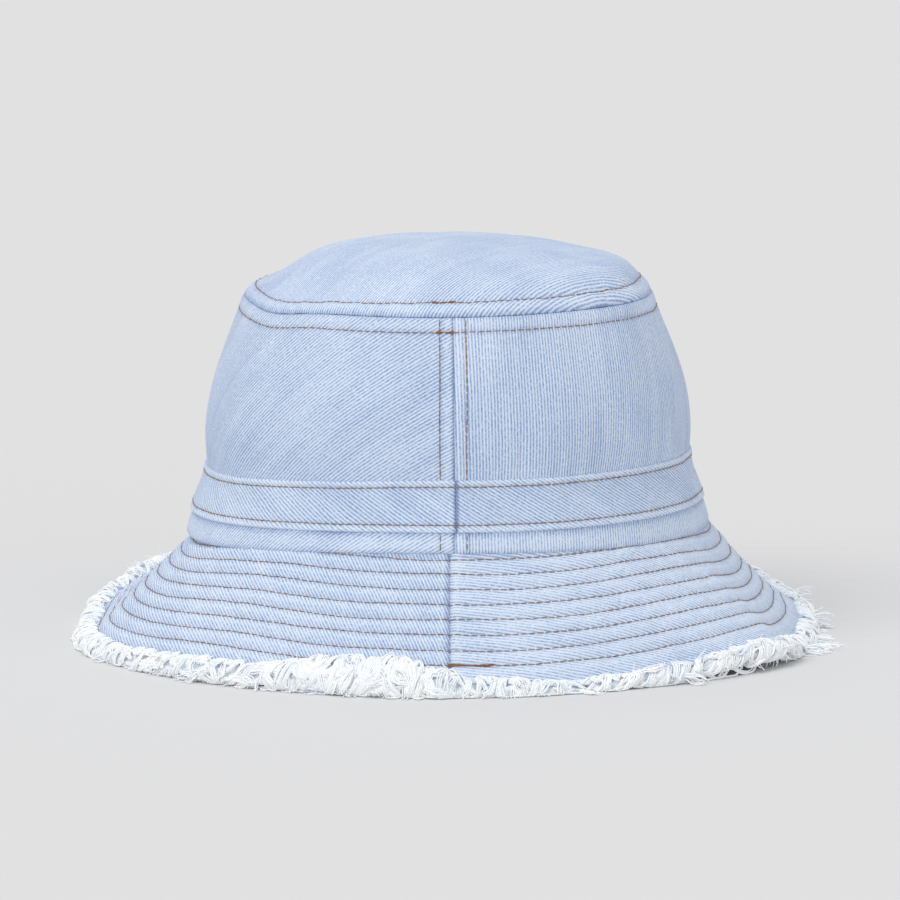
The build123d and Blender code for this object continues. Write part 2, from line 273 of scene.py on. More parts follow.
@lru_cache(maxsize=20000)
def brim_line(azimuth):
    """What the brim's slope, sag and corners are at one azimuth, for brim_point."""
    flanks = around(azimuth, -42, 24) + 0.8 * around(azimuth, 48, 24)
    top = seam_height(azimuth) + (0.2 + 2.8 * flanks) * MM
    drop = top - edge_height(azimuth)
    run = math.sqrt(BRIM**2 - drop**2)
    out = outward(azimuth)
    start = oval(SEAM_OVAL, azimuth) - out * (TUCK + (1.5 * flanks + 3.0 * around(azimuth, -95, 34)) * MM)
    start.z = top
    slope = out * run - Vector((0, 0, drop))
    face = (out * drop + Vector((0, 0, run))) / BRIM
    sag = -4.6 * front_share(azimuth) - 1.0 * around(azimuth, 80, 30)
    corner = 4.0 * ridge(azimuth, 63, 7) - 1.3 * around(azimuth, 38, 16) - 3.0 * around(azimuth, 79, 10)
    corner += 1.2 * around(azimuth, -66, 14) - 0.8 * around(azimuth, -40, 18)
    side = turned_by(azimuth, BRIM_SEAM_AT)
    return start, slope, face, sag, corner, side


def brim_point(azimuth, along):
    """The brim's upper face: a sloping strip that is quilted by its rows and lies in soft waves."""
    start, slope, face, sag, corner, side = brim_line(azimuth)
    share = along / BRIM
    swell = sag * math.sin(math.pi * min(1, share)) + corner * share
    swell += 1.1 * share * ripple(azimuth, along, 46 * MM, 7, 0.8)
    gap = abs(side) * SEAM_OVAL.y * (1 + 0.4 * share)
    rows = BRIM_ROWS if side < 0 else BRIM_ROWS - 1
    row = min(rows - 1, max(0, round((along - FIRST_ROW) / ROW_PITCH)))
    quilt = 0.2 - 0.5 * hill(along, row_at(row), 1.0 * MM)
    crinkle = 0.24 * ripple(azimuth, along, 5.5 * MM, 8) + 0.14 * ripple(azimuth, along, 3.4 * MM, 9)
    crease = -0.55 * hill(gap, 0, 0.9 * MM) + 0.25 * hill(gap, 3 * MM, 3 * MM)
    return start + slope * share + face * (swell + quilt + crinkle + crease) * MM


# ---- the hat band ----

def band_foot(azimuth):
    """Height of the band's lower fold. The band sits lower at the left."""
    side, back = math.sin(azimuth), math.cos(azimuth)
    return (48.7 + 2.3 * side * abs(side) + 2.5 * back * back) * MM


def band_width(azimuth):
    return (17.5 - 1.6 * max(0, -math.sin(azimuth))) * MM


def band_point(azimuth, along):
    """The band's face. along runs from 0 at its lower fold to 1 at its upper one."""
    width = band_width(azimuth)
    up = width * along
    foot = band_foot(azimuth) - seam_height(azimuth)
    place = wall_point(azimuth, foot + up)
    edge = 1.1 * MM
    nearest = min(up, width - up)
    rounding = math.sqrt(max(0, 1 - (1 - min(1, max(0, nearest / edge))) ** 2))
    groove = 0.2 * MM * (hill(up, BAND_BOTTOM_INSET, 0.8 * MM) + hill(width - up, BAND_TOP_INSET, 0.8 * MM))
    join = abs(turned_by(azimuth, BAND_JOIN_AT)) * SEAM_OVAL.y
    gape = 0.7 * MM * hill(join, 0, 0.7 * MM)
    soft = 0.35 * MM * ripple(azimuth, up, 16 * MM, 10, 1.2) + 0.2 * MM * ripple(azimuth, up, 6 * MM, 11, 0.7)
    place += outward(azimuth) * ((BAND_RISE + soft - groove - gape) * rounding + 0.1 * MM)
    return place


def facing(surface, azimuth, along):
    """The outward normal of a surface, from three points of it."""
    step = 0.4 * MM
    turn = step / SEAM_OVAL.x
    here = surface(azimuth, along)
    scale = 1 / TIP_OVAL.x if surface is tip_point else 1
    round_it = surface(azimuth + turn, along) - here
    down = surface(azimuth, along + step * scale) - here
    normal = round_it.cross(down).normalized()
    return normal if normal.dot(outward(azimuth) + Vector((0, 0, 0.6))) > 0 else -normal


def lifted(surface, azimuth, along, lift):
    return surface(azimuth, along) + facing(surface, azimuth, along) * lift


# ---- making and keeping pieces ----

def keep(name, bm, material, slot, *nodes, body="hat"):
    """Turns a bmesh into a finished piece that rides on a body and stands for its CAD nodes."""
    for face in bm.faces:
        face.smooth = True
    mesh = bpy.data.meshes.new(name)
    bm.to_mesh(mesh)
    bm.free()
    return settle(bpy.data.objects.new(name, mesh), material, slot, *nodes, body=body)


def settle(piece, material, slot, *nodes, body="hat"):
    piece.data.materials.append(material)
    bpy.context.scene.collection.objects.link(piece)
    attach(piece, body)
    if nodes:
        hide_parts(*nodes)
    return piece


def thicken(piece, thickness):
    """Gives a cloth face its thickness, inwards from the face."""
    modifier = piece.modifiers.new("Cloth thickness", "SOLIDIFY")
    modifier.thickness = thickness
    modifier.offset = -1
    return piece


def cloth(steps, place, flat, grain=0.0, wear_and_shading=None, close=False):
    """A grid of cloth. place and flat give each point from two shares, on the hat and on the flat pattern.

    The flat pattern becomes the UV map, in metres, turned so that the twill lines run along its first axis.
    """
    bm = bmesh.new()
    bmesh.ops.create_grid(bm, x_segments=steps[0], y_segments=steps[1], size=0.5)
    uv = bm.loops.layers.uv.new("flat")
    # Per point: above 0 paler, mostly where the cloth rubs and in one strip as painted light; below 0 painted
    # shade in seams, grooves and under folds.
    worn_and_shaded = bm.verts.layers.float.new("wear_and_shading")
    turn = Matrix.Rotation(-math.radians(grain), 2)
    shares = [(v.co.x + 0.5, v.co.y + 0.5) for v in bm.verts]
    patterns = [Vector(flat(*share)) for share in shares]
    for vert, share in zip(bm.verts, shares):
        vert.co = place(*share)
        vert[worn_and_shaded] = wear_and_shading(*share) if wear_and_shading else 0.0
    for face in bm.faces:
        for loop in face.loops:
            loop[uv].uv = turn @ patterns[loop.vert.index]
    size = [max(p[i] for p in patterns) - min(p[i] for p in patterns) for i in (0, 1)]
    area = sum(abs(pattern_area([patterns[v.index] for v in face.verts])) for face in bm.faces)
    if close:
        bmesh.ops.remove_doubles(bm, verts=bm.verts, dist=0.01 * MM)
        bmesh.ops.dissolve_degenerate(bm, edges=bm.edges, dist=0.005 * MM)
    return bm, size, area


def pattern_area(corners):
    pairs = zip(corners, corners[1:] + corners[:1])
    return sum(a.x * b.y - a.y * b.x for a, b in pairs) / 2


def blend_range(low, high, share):
    return low + (high - low) * share


def fan(azimuth, middle, reach, cone):
    """A point of a cone's flat pattern: its apex is the origin, and cone is its radius over its slant."""
    angle = (azimuth - middle) * cone
    return (reach * math.sin(angle), -reach * math.cos(angle))


# ---- shader nodes ----

class Socket:
    """A node's output on which arithmetic can be written. Each operator adds one Math node."""

    def __init__(self, recipe, socket):
        self.recipe = recipe
        self.socket = socket

    def math(self, operation, *terms):
        return self.recipe.node("ShaderNodeMath", {"operation": operation}, dict(enumerate(terms)))

    def __add__(self, other):
        return self.math("ADD", self, other)

    def __sub__(self, other):
        return self.math("SUBTRACT", self, other)

    def __rsub__(self, other):
        return self.math("SUBTRACT", other, self)

    def __mul__(self, other):
        return self.math("MULTIPLY", self, other)

    def __pow__(self, other):
        return self.math("POWER", self, other)

    __radd__ = __add__
    __rmul__ = __mul__

    def sine(self):
        return self.math("SINE", self)

    def clamped(self):
        return self.recipe.node("ShaderNodeClamp", {}, {"Value": self})


class Recipe:
    """Builds one material's nodes."""

    def __init__(self, name, **constants):
        self.material = bpy.data.materials.new(name)
        self.material.use_nodes = True
        self.tree = self.material.node_tree
        self.shader = self.tree.nodes["Principled BSDF"]
        for socket, value in constants.items():
            self.shader.inputs[socket.replace("_", " ")].default_value = value

    def node(self, kind, settings, inputs, output=0):
        node = self.tree.nodes.new(kind)
        for name, value in settings.items():
            setattr(node, name, value)
        for name, value in inputs.items():
            self.feed(node.inputs[name], value)
        return Socket(self, node.outputs[output])

    def feed(self, socket, value):
        if isinstance(value, Socket):
            self.tree.links.new(value.socket, socket)
        else:
            socket.default_value = value

    def mix(self, share, first, second):
        return self.node("ShaderNodeMix", {"data_type": "RGBA"}, {0: share, 6: first, 7: second}, output=2)

    def noise(self, vector, scale, detail=2.0, roughness=0.5):
        inputs = {"Vector": vector, "Scale": scale, "Detail": detail, "Roughness": roughness}
        return self.node("ShaderNodeTexNoise", {}, inputs)

    def split(self, vector):
        return [self.node("ShaderNodeSeparateXYZ", {}, {0: vector}, output=i) for i in range(3)]

    def join(self, x, y, z=0.0):
        return self.node("ShaderNodeCombineXYZ", {}, {0: x, 1: y, 2: z})

    def finish(self, **links):
        for socket, value in links.items():
            self.feed(self.shader.inputs[socket.replace("_", " ")], value)
        return self.material


def rgba(colour):
    return (*colour, 1.0)


def object_place(recipe):
    return recipe.node("ShaderNodeTexCoord", {}, {}, output=3)


def denim_material(look, name="washed_denim"):
    """Washed twill: pale and blue diagonal ribs, broken into short floats, paler where the cloth rubs, with
    painted shade and painted light from its per-point attribute.
    """
    recipe = Recipe(name, Roughness=0.92, Sheen_Weight=0.12, Sheen_Roughness=0.6, Specular_IOR_Level=0.2)
    flat = recipe.node("ShaderNodeUVMap", {"uv_map": "flat"}, {})
    along, across, _ = recipe.split(flat)
    sway = recipe.noise(flat, 170.0, 2.0) - 0.5
    drift = recipe.noise(recipe.join(along * 60, across * 420), 1.0, 1.0) - 0.5
    phase = across * (math.tau / look.twill_pitch) + sway * 1.5 + drift * 2.4
    rib = phase.sine() * 0.5 + 0.5
    floats = recipe.noise(recipe.join(along * 800, across * 1500), 1.0, 2.0, 0.65)
    speck = recipe.noise(flat, 1500.0, 2.0, 0.7)
    slub = recipe.noise(recipe.join(along * 26, across * 230), 1.0, 2.0)
    wash = recipe.noise(flat, 42.0, 3.0, 0.55)
    cloud = recipe.noise(flat, 11.0, 2.0)
    blue = rib * (floats * 2.4 - 0.4) + speck * 1.0 + slub * 0.4 + wash * 0.5 + cloud * 0.4 - 1.13
    # Below 0 this attribute paints shade, bluer and then deep blue; above 0 it makes the cloth paler.
    wear_and_shading = recipe.node("ShaderNodeAttribute", {"attribute_name": "wear_and_shading"}, {}, output=2)
    fade_and_shading = (blue - wear_and_shading).clamped()
    colour = recipe.mix(fade_and_shading, rgba(look.denim_pale), rgba(look.denim_blue))
    # Deep blue where the indigo noise is strong, and as painted shade where the attribute is below 0.
    deep = (blue * 0.6 - wear_and_shading - 0.75).clamped()
    colour = recipe.mix(deep, colour, rgba(look.denim_deep))
    height = (1 - rib) * 0.6 + floats * 0.5
    bump = recipe.node("ShaderNodeBump", {}, {"Height": height, "Strength": 0.55, "Distance": 0.16 * MM})
    return recipe.finish(Base_Color=colour, Normal=bump)


def thread_material(name, light, dark):
    """Spun thread, its colour mixed at random between a lit and a shaded tone: painted light and shade."""
    recipe = Recipe(name, Roughness=0.75, Specular_IOR_Level=0.25)
    place = object_place(recipe)
    tone = recipe.noise(place, 520.0, 2.0, 0.6) * 1.5 + recipe.noise(place, 60.0) * 0.5 - 0.5
    twist = recipe.noise(place, 2600.0, 1.0)
    bump = recipe.node("ShaderNodeBump", {}, {"Height": twist, "Strength": 0.5, "Distance": 0.08 * MM})
    return recipe.finish(Base_Color=recipe.mix(tone.clamped(), rgba(light), rgba(dark)), Normal=bump)


def cotton_material(name, light, shade, fibre=1500.0, ply=120.0):
    """Loose cotton yarn: nearly white, mixed at random with a painted blue-grey shade. Its faint glow is
    painted light that brightens the yarn.
    """
    # Painted light: a faint emission brightens the yarn.
    recipe = Recipe(name, Roughness=0.95, Sheen_Weight=0.1, Sheen_Roughness=0.5, Specular_IOR_Level=0.15,
                    Emission_Color=(0.90, 0.95, 1.0, 1.0), Emission_Strength=0.05)
    place = object_place(recipe)
    tone = recipe.noise(place, ply, 3.0, 0.6) * 1.8 + recipe.noise(place, fibre, 2.0) * 0.5 - 0.85
    fuzz = recipe.noise(place, fibre, 2.0)
    bump = recipe.node("ShaderNodeBump", {}, {"Height": fuzz, "Strength": 0.4, "Distance": 0.1 * MM})
    return recipe.finish(Base_Color=recipe.mix(tone.clamped(), rgba(light), rgba(shade)), Normal=bump)


def tape_material(name, light, shade, rib_pitch):
    """Narrow woven cotton tape with a fine rib along the flat pattern's second axis."""
    recipe = Recipe(name, Roughness=0.85, Sheen_Weight=0.15, Specular_IOR_Level=0.2)
    flat = recipe.node("ShaderNodeUVMap", {"uv_map": "flat"}, {})
    along, across, _ = recipe.split(flat)
    chevron = ((along * (math.tau / (6 * rib_pitch))).sine() * 2.2 + across * (math.tau / rib_pitch)).sine()
    rib = chevron * 0.5 + 0.5
    tone = rib * 0.45 + recipe.noise(flat, 900.0, 2.0) * 0.5 + recipe.noise(flat, 40.0) * 0.3 - 0.25
    bump = recipe.node("ShaderNodeBump", {}, {"Height": rib, "Strength": 0.5, "Distance": 0.12 * MM})
    return recipe.finish(Base_Color=recipe.mix(tone.clamped(), rgba(light), rgba(shade)), Normal=bump)


def get_material(name):
    """Makes a named material once and hands it out after that."""
    if name in bpy.data.materials:
        return bpy.data.materials[name]
    look = bpy.context.scene.hat_look
    makers = {
        "washed_denim": (denim_material, look),
        "topstitch_thread": (thread_material, name, look.thread_light, look.thread_dark),
        "backtack_thread": (thread_material, name, look.backtack_light, look.backtack_dark),
        "loose_cotton": (cotton_material, name, look.cotton_light, look.cotton_shade),
        # The matted core mixes white with a darker painted blue-grey shade.
        "matted_cotton": (cotton_material, name, (0.90, 0.94, 0.98), (0.66, 0.74, 0.84), 900.0, 520.0),
        "sweatband_tape": (tape_material, name, (0.66, 0.65, 0.60), (0.50, 0.49, 0.44), 1.1 * MM),
        "seam_tape": (tape_material, name, (0.72, 0.72, 0.70), (0.56, 0.57, 0.58), 0.9 * MM),
        "interlining_cotton": (tape_material, name, (0.70, 0.69, 0.64), (0.55, 0.54, 0.50), 0.7 * MM),
        "label_satin": (tape_material, name, (0.78, 0.78, 0.77), (0.70, 0.70, 0.70), 0.35 * MM),
    }
    maker, *values = makers[name]
    return maker(*values)


# ---- topstitching ----

def tubes(name, lines, material, slot, *nodes, sides=6):
    """Turns lines, each a list of points and a list of their radii, into one piece of closed round tubes."""
    curve = bpy.data.curves.new(name, "CURVE")
    curve.dimensions = "3D"
    curve.bevel_depth = 1.0
    curve.bevel_resolution = (sides - 4) // 2
    curve.use_fill_caps = True
    for points, radii in lines:
        spline = curve.splines.new("POLY")
        spline.points.add(len(points) - 1)
        spline.points.foreach_set("co", [number for point in points for number in (*point, 1.0)])
        spline.points.foreach_set("radius", radii)
        spline.use_smooth = True
    source = bpy.data.objects.new(name + "_line", curve)
    bpy.context.scene.collection.objects.link(source)
    mesh = bpy.data.meshes.new_from_object(source.evaluated_get(bpy.context.evaluated_depsgraph_get()))
    bpy.data.objects.remove(source)
    mesh.materials.clear()
    mesh.name = name
    return settle(bpy.data.objects.new(name, mesh), get_material(material), slot, *nodes)


def sew(place, seed, start=0.0, end=1.0):
    """Lays stitches along a line. place(share, lift) is a point of the line, lifted off the cloth."""
    look = bpy.context.scene.hat_look
    draw = random.Random(seed)
    samples = 360
    marks = [blend_range(start, end, i / samples) for i in range(samples + 1)]
    points = [place(mark, 0) for mark in marks]
    passed = [0.0]
    for a, b in zip(points, points[1:]):
        passed.append(passed[-1] + (b - a).length)
    count = max(1, round(passed[-1] / look.stitch_pitch))
    pitch = passed[-1] / count
    index = 0
    stitches = []
    for i in range(count):
        share = 0.02 + 0.04 * draw.random(), 0.95 + 0.04 * draw.random()
        lift = look.thread_radius * draw.uniform(0.15, 0.45)
        sunk = look.thread_radius * -0.6
        line = []
        for part, rise in ((0, sunk), (0.22, lift), (0.5, lift * 1.3), (0.78, lift), (1, sunk)):
            distance = pitch * (i + blend_range(*share, part))
            while index < samples - 1 and passed[index + 1] < distance:
                index += 1
            span = max(1e-9, passed[index + 1] - passed[index])
            mark = blend_range(marks[index], marks[index + 1], (distance - passed[index]) / span)
            line.append(place(mark, rise))
        thick = look.thread_radius * draw.uniform(0.85, 1.12)
        stitches.append((line, [thick * taper for taper in (0.7, 1.0, 1.05, 1.0, 0.7)]))
    return stitches


def stitch_piece(name, lines, node, seed, material="topstitch_thread"):
    """One piece of topstitching from one or more lines: (place, start, end)."""
    stitches = []
    for i, (place, start, end) in enumerate(lines):
        stitches += sew(place, seed + i, start, end)
    return tubes(name, stitches, material, "thread", *([node] if node else []))


def ring_line(surface, along, wander=0.25 * MM, seed=0, lift=0.0):
    """A line of stitches round the hat at a distance along a surface, wandering as a hand guides it."""
    def place(share, up):
        azimuth = share * math.tau - HALF_TURN
        unit = 1 / TIP_OVAL.x if surface is tip_point else 1
        sway = wander * ripple(azimuth, 0, 30 * MM, 20 + seed) * unit
        return lifted(surface, azimuth, along(azimuth) + sway, up + lift)
    return place


def slanted(line, start, end, slant):
    """A line that crosses another between two of its marks, as a doubled stitch does."""
    def place(share, up):
        across = (share - start) / (end - start) - 0.5
        point = line(share, up + 0.12 * MM)
        return point + Vector((0, 0, 1)) * slant * 2 * across
    return place


def seam_line(seam, offset, seed):
    """A line of stitches up the wall, a fixed distance from a seam."""
    def place(share, up):
        along = blend_range(0.2 * MM, wall_rise(seam) - 0.8 * MM, share)
        reach = SEAM_OVAL.y - (SEAM_OVAL.y - TIP_OVAL.y) * share
        sway = 0.2 * MM * ripple(seam, along, 25 * MM, 30 + seed)
        return lifted(wall_point, seam + (offset + sway) / reach, along, up)
    return place


# ---- sizes and colours that a user may change ----

def colour_property(name, description, default):
    return FloatVectorProperty(
        name=name, description=description, subtype="COLOR", min=0, max=1, default=default
    )


def length_property(name, description, default):
    return FloatProperty(
        name=name, description=description, unit="LENGTH", min=0, default=default, precision=5
    )


class HatLook(bpy.types.PropertyGroup):
    """Sizes and colours of the hat's cloth, thread and yarn."""

    stitch_pitch: length_property("Stitch pitch", "Length of one stitch with its gap", 2.85 * MM)
    thread_radius: length_property("Thread radius", "Half the thickness of the stitching", 0.215 * MM)
    twill_pitch: length_property("Twill pitch", "Distance between two diagonal ribs of the denim", 1.1 * MM)
    yarn_radius: length_property("Yarn radius", "Half the thickness of a loose yarn", 0.28 * MM)
    denim_pale: colour_property("Pale yarn", "Undyed yarn of the denim", (0.71, 0.80, 0.94))
    denim_blue: colour_property("Blue yarn", "Washed indigo yarn of the denim", (0.235, 0.345, 0.58))
    # The deep blue is also the colour of painted shade in the denim's seams and grooves.
    denim_deep: colour_property("Deep blue", "Indigo that the wash didn't reach", (0.10, 0.17, 0.36))
    # Lit and shaded tones of each thread, mixed at random along it: painted light and shade.
    thread_light: colour_property("Thread", "Topstitching thread in the light", (0.45, 0.30, 0.19))
    thread_dark: colour_property("Thread, dark", "Topstitching thread where it dives in", (0.17, 0.105, 0.08))
    backtack_light: colour_property("Backtack", "Thread of the doubled stitches", (0.40, 0.18, 0.085))
    backtack_dark: colour_property("Backtack, dark", "Shaded thread of those stitches", (0.17, 0.075, 0.04))
    cotton_light: colour_property("Loose cotton", "Frayed yarn", (0.98, 0.985, 0.99))
    # A painted blue-grey shade, mixed into the yarn at random.
    cotton_shade: colour_property("Loose cotton, blue", "Blue cast on the frayed yarn", (0.80, 0.88, 0.96))


# ---- the topstitching pieces ----

class MakeCrownStitches(bpy.types.Operator):
    """Topstitching of the tip seam, both crown seams and the hat band"""

    bl_idname = "hat.crown_stitches"
    bl_label = "Crown topstitching"

    def execute(self, context):
        upper = ring_line(tip_point, lambda azimuth: 4.2 * MM / TIP_OVAL.x, seed=1)
        lower = ring_line(wall_point, lambda azimuth: wall_rise(azimuth) - SEAM_INSET, seed=2)
        stitch_piece("tip_row_upper", [(upper, 0, 1)], "tip_stitch_upper", 101)
        stitch_piece("tip_row_lower", [(lower, 0, 1)], "tip_stitch_lower", 102)
        for name, seam, turn in (("back", CROWN_SEAM_AT, 1), ("front", HALF_TURN, -1)):
            for side, offset in (("left", -turn * SEAM_INSET), ("right", turn * (SEAM_INSET - 0.4 * MM))):
                line = seam_line(seam, offset, turn)
                stitch_piece(f"{name}_row_{side}", [(line, 0, 1)], f"{name}_seam_stitch_{side}", 110 + turn)
        heights = {
            "lower": lambda azimuth: BAND_BOTTOM_INSET / band_width(azimuth),
            "upper": lambda azimuth: 1 - BAND_TOP_INSET / band_width(azimuth),
        }
        for name, along in heights.items():
            line = ring_line(band_point, along, wander=0.0)
            stitch_piece(f"band_row_{name}", [(line, 0, 1)], f"band_stitch_{name}", 120 + len(name))
        tacks = []
        for line, start, end in ((upper, 0.4855, 0.5065), (lower, 0.490, 0.5045)):
            for number, slant in enumerate((0.35, -0.4, 0.1)):
                tack = slanted(line, start, end, slant * MM)
                tacks.append((tack, start + 0.001 * number, end - 0.0008 * number))
        stitch_piece("crown_backtacks", tacks, None, 130, "backtack_thread")
        return {"FINISHED"}


def brim_row_line(row, lift=0.0):
    return ring_line(brim_point, lambda azimuth: row_at(row), wander=0.45 * MM, seed=40 + row, lift=lift)


UNDER_FACE = DENIM + INTERLINING + DENIM + 0.3 * MM


class MakeBrimStitches(bpy.types.Operator):
    """The rows of topstitching round the brim, with their bobbin threads below"""

    bl_idname = "hat.brim_stitches"
    bl_label = "Brim topstitching"

    def execute(self, context):
        back = 0.5 + BRIM_SEAM_AT / math.tau
        for row in range(BRIM_ROWS):
            end = back if row == BRIM_ROWS - 1 else 1
            lines = [(brim_row_line(row), 0, end), (brim_row_line(row, -UNDER_FACE), 0, end)]
            stitch_piece(f"brim_row_{row + 1}", lines, f"brim_stitch_{row + 1}", 200 + 10 * row)
        tack = brim_row_line(BRIM_ROWS - 2, 0.12 * MM)
        lines = []
        for number, slant in enumerate((0.4, -0.45, 0.1)):
            start, end = back - 0.002 + 0.001 * number, back + 0.021 - 0.002 * number
            lines.append((slanted(tack, start, end, slant * MM), start, end))
        stitch_piece("brim_backtack", lines, None, 300, "backtack_thread")
        return {"FINISHED"}


# ---- cloth pieces ----


def wall_wear_and_shading(azimuth, along):
    """Paler along rubbed folds and seams. Painted shade in the valleys beside them, in the stitch grooves,
    under the band and at the foot; painted light below the band.
    """
    gap = abs(turned_by(azimuth, CROWN_SEAM_AT)) * SEAM_OVAL.y
    from_tip = wall_rise(azimuth) - along
    band_gap = band_foot(azimuth) - seam_height(azimuth)
    pale = 0.12 * hill(gap, 2.2 * MM, 1.6 * MM) + 0.12 * hill(from_tip, 2.4 * MM, 1.6 * MM)
    pale += 0.16 * hill(turned_by(azimuth, CROWN_SEAM_AT) * SEAM_OVAL.y, 1.4 * MM, 0.8 * MM)
    # Painted light: the strip between the band and the brim is made paler to lift its shade.
    pale += 0.18 * ease(-along, -band_gap, -band_gap * 0.6)
    # Painted shade: bluer in the seam and stitch grooves, under the band's fold and at the wall's foot.
    blue = 0.35 * hill(gap, 0, 0.6 * MM) + 0.25 * hill(from_tip, 0, 0.8 * MM)
    blue += 0.25 * hill(from_tip, SEAM_INSET, 0.8 * MM) + 0.2 * hill(gap, SEAM_INSET, 0.8 * MM)
    blue += 0.2 * hill(along, band_gap - 0.5 * MM, 1.0 * MM) + 0.15 * hill(along, 0, 1.2 * MM)
    return pale - blue


def brim_wear_and_shading(azimuth, along):
    gap = abs(turned_by(azimuth, BRIM_SEAM_AT)) * SEAM_OVAL.y
    row = min(BRIM_ROWS - 1, max(0, round((along - FIRST_ROW) / ROW_PITCH)))
    # Painted shade: bluer along the stitch rows, at the brim's root under the crown and in the seam's crease.
    blue = 0.16 * hill(along, row_at(row), 0.8 * MM) + 0.4 * hill(along, 0, 2.4 * MM)
    blue += 0.3 * hill(turned_by(azimuth, BRIM_SEAM_AT) * SEAM_OVAL.y, -0.8 * MM, 0.8 * MM)
    pale = 0.2 * hill(along, row_at(row) + ROW_PITCH / 2, 1.5 * MM) + 0.15 * hill(gap, 2.5 * MM, 1.5 * MM)
    return pale - blue + (0.02 if turned_by(azimuth, BRIM_SEAM_AT) < 0 else 0.13)


def band_wear_and_shading(azimuth, along):
    width = band_width(azimuth)
    up = along * width
    join = turned_by(azimuth, BAND_JOIN_AT) * SEAM_OVAL.y
    pale = 0.26 * (hill(up, 0.9 * MM, 1.2 * MM) + hill(width - up, 0.8 * MM, 1.1 * MM))
    # Painted shade: bluer in the stitch grooves and in the gap where the band's ends meet.
    blue = 0.14 * (hill(up, BAND_BOTTOM_INSET, 0.7 * MM) + hill(width - up, BAND_TOP_INSET, 0.7 * MM))
    return pale - blue - 0.6 * hill(join, 0, 0.6 * MM)


class MakeCrown(bpy.types.Operator):
    """The domed tip and the two wall panels"""

    bl_idname = "hat.crown"
    bl_label = "Crown"

    def execute(self, context):
        denim = get_material("washed_denim")
        objects = bpy.data.objects

        def tip_inset(share):
            return share**1.35

        def tip_place(x, y):
            return tip_point(x * math.tau - HALF_TURN, tip_inset(y))

        def tip_flat(x, y):
            return oval(TIP_OVAL, x * math.tau - HALF_TURN).xy * (1 - tip_inset(y)) * 1.06

        def tip_wear_and_shading(x, y):
            across = tip_inset(y) * TIP_OVAL.x
            # Paler on the ridge beside the seam; painted shade at the seam's edge and in the stitch groove.
            rim = 0.12 * hill(across, 2.2 * MM, 1.5 * MM) - 0.25 * hill(across, 0, 0.8 * MM)
            return rim - 0.2 * hill(across, 4.2 * MM, 0.8 * MM)

        bm, size, area = cloth((360, 72), tip_place, tip_flat, GRAIN["tip"], tip_wear_and_shading, close=True)
        tip = thicken(keep("tip_cloth", bm, denim, "denim", "crown_tip"), DENIM)

        slant = math.hypot(SEAM_OVAL.x - TIP_OVAL.x, TIP_HEIGHT - SEAM_HEIGHT)
        cone = (SEAM_OVAL.x - TIP_OVAL.x) / slant
        roll = 2.4 * MM
        for side, start, end in (("left", CROWN_SEAM_AT - HALF_TURN, CROWN_SEAM_AT),
                                 ("right", CROWN_SEAM_AT, CROWN_SEAM_AT + HALF_TURN)):
            middle = (start + end) / 2

            def place(x, y):
                azimuth = blend_range(start, end, x)
                return wall_point(azimuth, wall_along(azimuth, y))

            def wall_along(azimuth, y):
                return -roll + y * (wall_rise(azimuth) + roll + 2.5 * MM)

            def flat(x, y):
                azimuth = blend_range(start, end, x)
                reach = SEAM_OVAL.x / cone - wall_along(azimuth, y)
                return fan(azimuth, middle, reach, cone)

            def worn_and_shaded(x, y):
                azimuth = blend_range(start, end, x)
                return wall_wear_and_shading(azimuth, wall_along(azimuth, y))

            bm, size, area = cloth((230, 84), place, flat, GRAIN[f"wall_{side}"], worn_and_shaded)
            piece = thicken(keep(f"wall_{side}", bm, denim, "denim", f"crown_side_{side}"), DENIM)
            rows = [objects[f"back_row_{side}"], objects[f"front_row_{side}"]]
            if side == "left":
                rows += [objects["tip_row_lower"], objects["crown_backtacks"]]
        return {"FINISHED"}


class MakeBand(bpy.types.Operator):
    """The narrow band round the crown, its ends butted at the back"""

    bl_idname = "hat.band"
    bl_label = "Hat band"

    def execute(self, context):
        length = math.tau * (SEAM_OVAL.x + SEAM_OVAL.y) / 2
        gap = 0.12 * MM / SEAM_OVAL.y
        start, end = BAND_JOIN_AT + gap, BAND_JOIN_AT + math.tau - gap

        def place(x, y):
            return band_point(blend_range(start, end, x), y)

        def flat(x, y):
            return (x * length, y * band_width(blend_range(start, end, x)))

        def worn_and_shaded(x, y):
            return band_wear_and_shading(blend_range(start, end, x), y)

        bm, size, area = cloth((460, 34), place, flat, GRAIN["band"], worn_and_shaded)
        band = thicken(keep("band_cloth", bm, get_material("washed_denim"), "denim", "hat_band"), DENIM / 2)
        return {"FINISHED"}


def brim_ply(
    name, side, depth, thickness, material, slot, node, steps, reach=(-2.0 * MM, BRIM), whole=False
):
    """One ply of the brim, that far under its upper face, as a half or as the whole ring."""
    start = BRIM_SEAM_AT if side == "right" else BRIM_SEAM_AT - HALF_TURN
    end = BRIM_SEAM_AT if side == "left" and not whole else BRIM_SEAM_AT + HALF_TURN
    cone = 0.68
    apex = (SEAM_OVAL.x - TUCK) / cone
    middle = (start + end) / 2

    def spot(x, y):
        return blend_range(start, end, x), blend_range(reach[1], reach[0], y)

    def place(x, y):
        azimuth, along = spot(x, y)
        return lifted(brim_point, azimuth, along, -depth) if depth else brim_point(azimuth, along)

    def flat(x, y):
        azimuth, along = spot(x, y)
        return fan(azimuth, middle, apex + along, cone)

    def worn_and_shaded(x, y):
        return brim_wear_and_shading(*spot(x, y)) if not depth else 0.0

    bm, size, area = cloth(steps, place, flat, GRAIN[f"brim_{side}"], worn_and_shaded, close=whole)
    piece = thicken(keep(name, bm, get_material(material), slot, node), thickness)
    return piece, size, area


